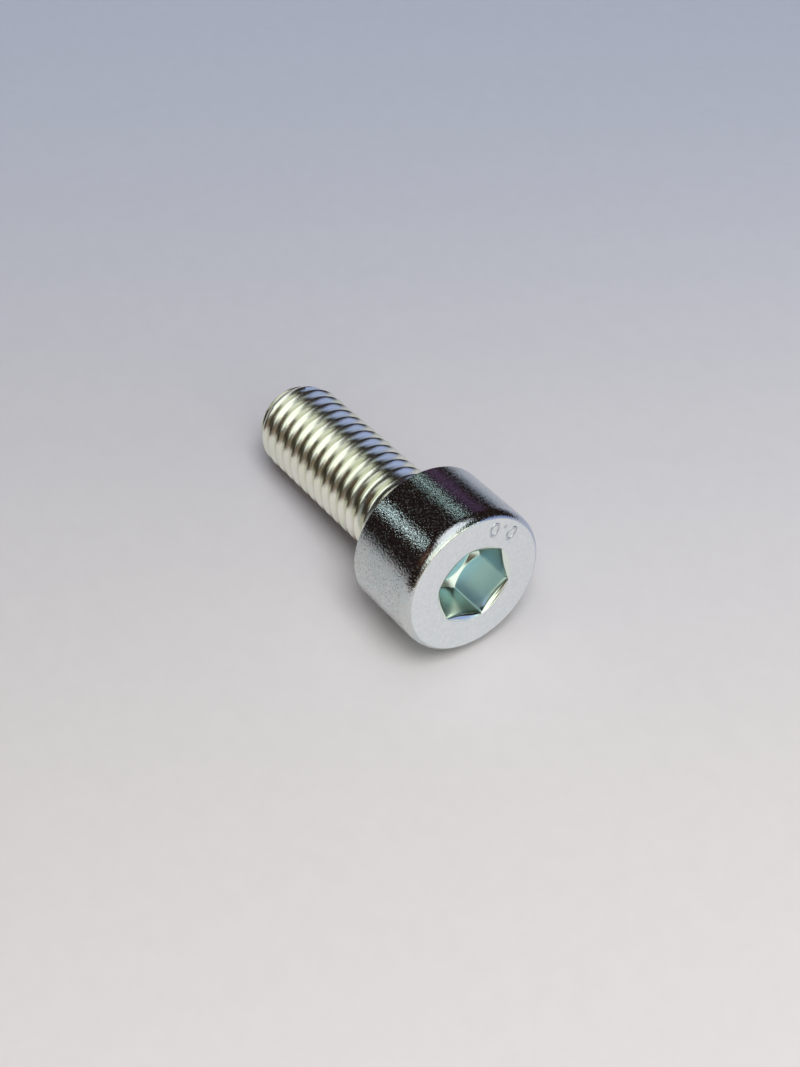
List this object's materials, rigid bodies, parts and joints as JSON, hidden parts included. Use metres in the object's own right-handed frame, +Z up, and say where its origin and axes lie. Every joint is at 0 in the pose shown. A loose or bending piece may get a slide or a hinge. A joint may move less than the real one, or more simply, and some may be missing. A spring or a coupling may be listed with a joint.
{
  "type": "hex socket cap screw",
  "caption": "Cylinder head screw with a hex socket and a fully threaded shank, lying on its side as it comes to rest.",
  "frame": {"origin": "centre of the lying screw's box, on the surface it lies on", "axes": "+X level, from the point to the head; +Z up; the screw's own axis climbs 7.6 degrees towards the head, along (0.99118, 0, 0.13251)"},
  "size_m": [0.0286, 0.013, 0.0138],
  "materials": {
    "zinc_plated_steel": "bright blue-white zinc plate, glossy and faintly grained on the head's side and thread, satin on the face"
  },
  "bodies": {
    "root": {"cap_screw": "zinc_plated_steel"}
  },
  "joints": []
}
